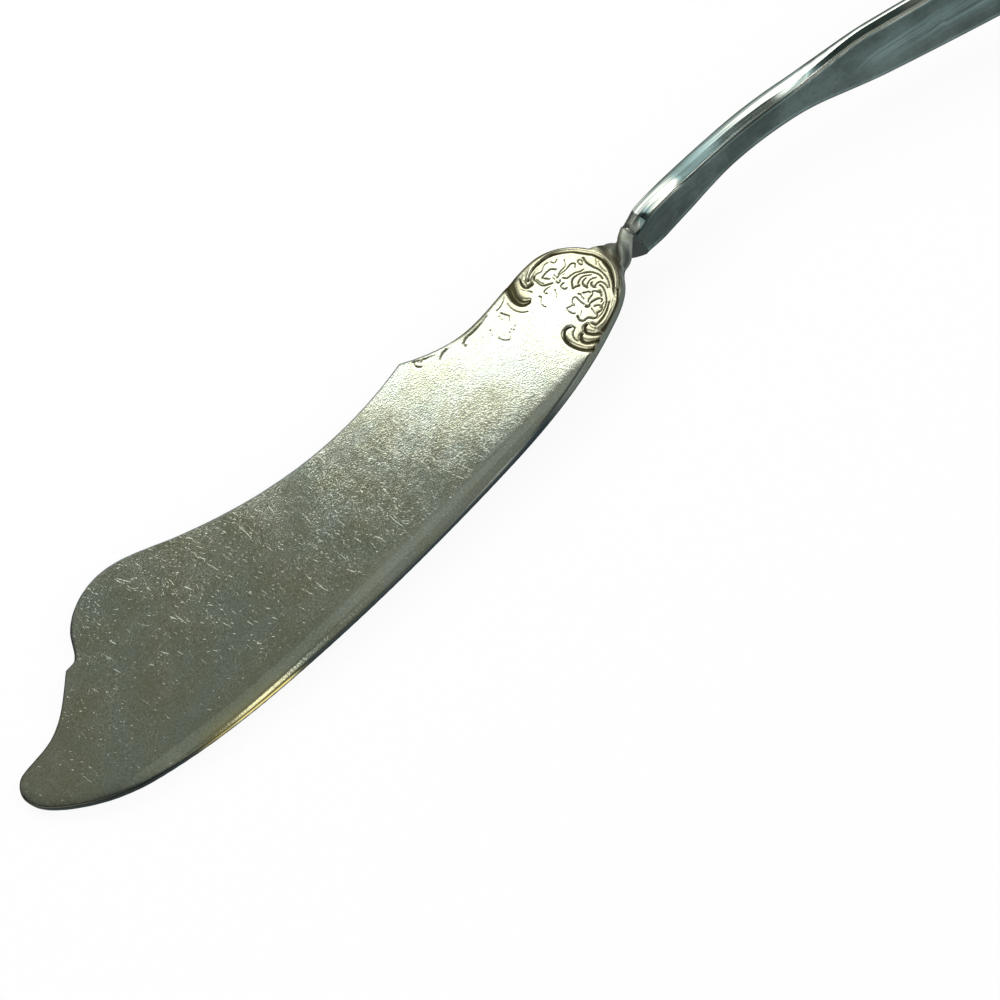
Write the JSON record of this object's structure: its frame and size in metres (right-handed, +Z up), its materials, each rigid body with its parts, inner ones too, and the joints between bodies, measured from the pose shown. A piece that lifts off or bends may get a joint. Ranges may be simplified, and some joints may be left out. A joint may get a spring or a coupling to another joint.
{
  "type": "butter knife",
  "caption": "Slim silver-plated butter knife with a clipped, humped blade, a struck scroll shoulder and a twisted neck; lies on its blade and the edge of its handle.",
  "frame": {"origin": "on the table, under the middle of the knife's bounding box", "axes": "+X along the knife from the blade's tip to the end of the handle, +Y towards the back of the blade, +Z up, out of the struck face as the knife lies on a table"},
  "size_m": [0.1846, 0.0286, 0.0154],
  "materials": {
    "blade_plate": "worn silver plate",
    "handle_plate": "worn silver plate",
    "hard_solder": "satin"
  },
  "bodies": {
    "root": {"blade": "blade_plate", "handle": "handle_plate", "solder": "hard_solder"}
  },
  "joints": []
}
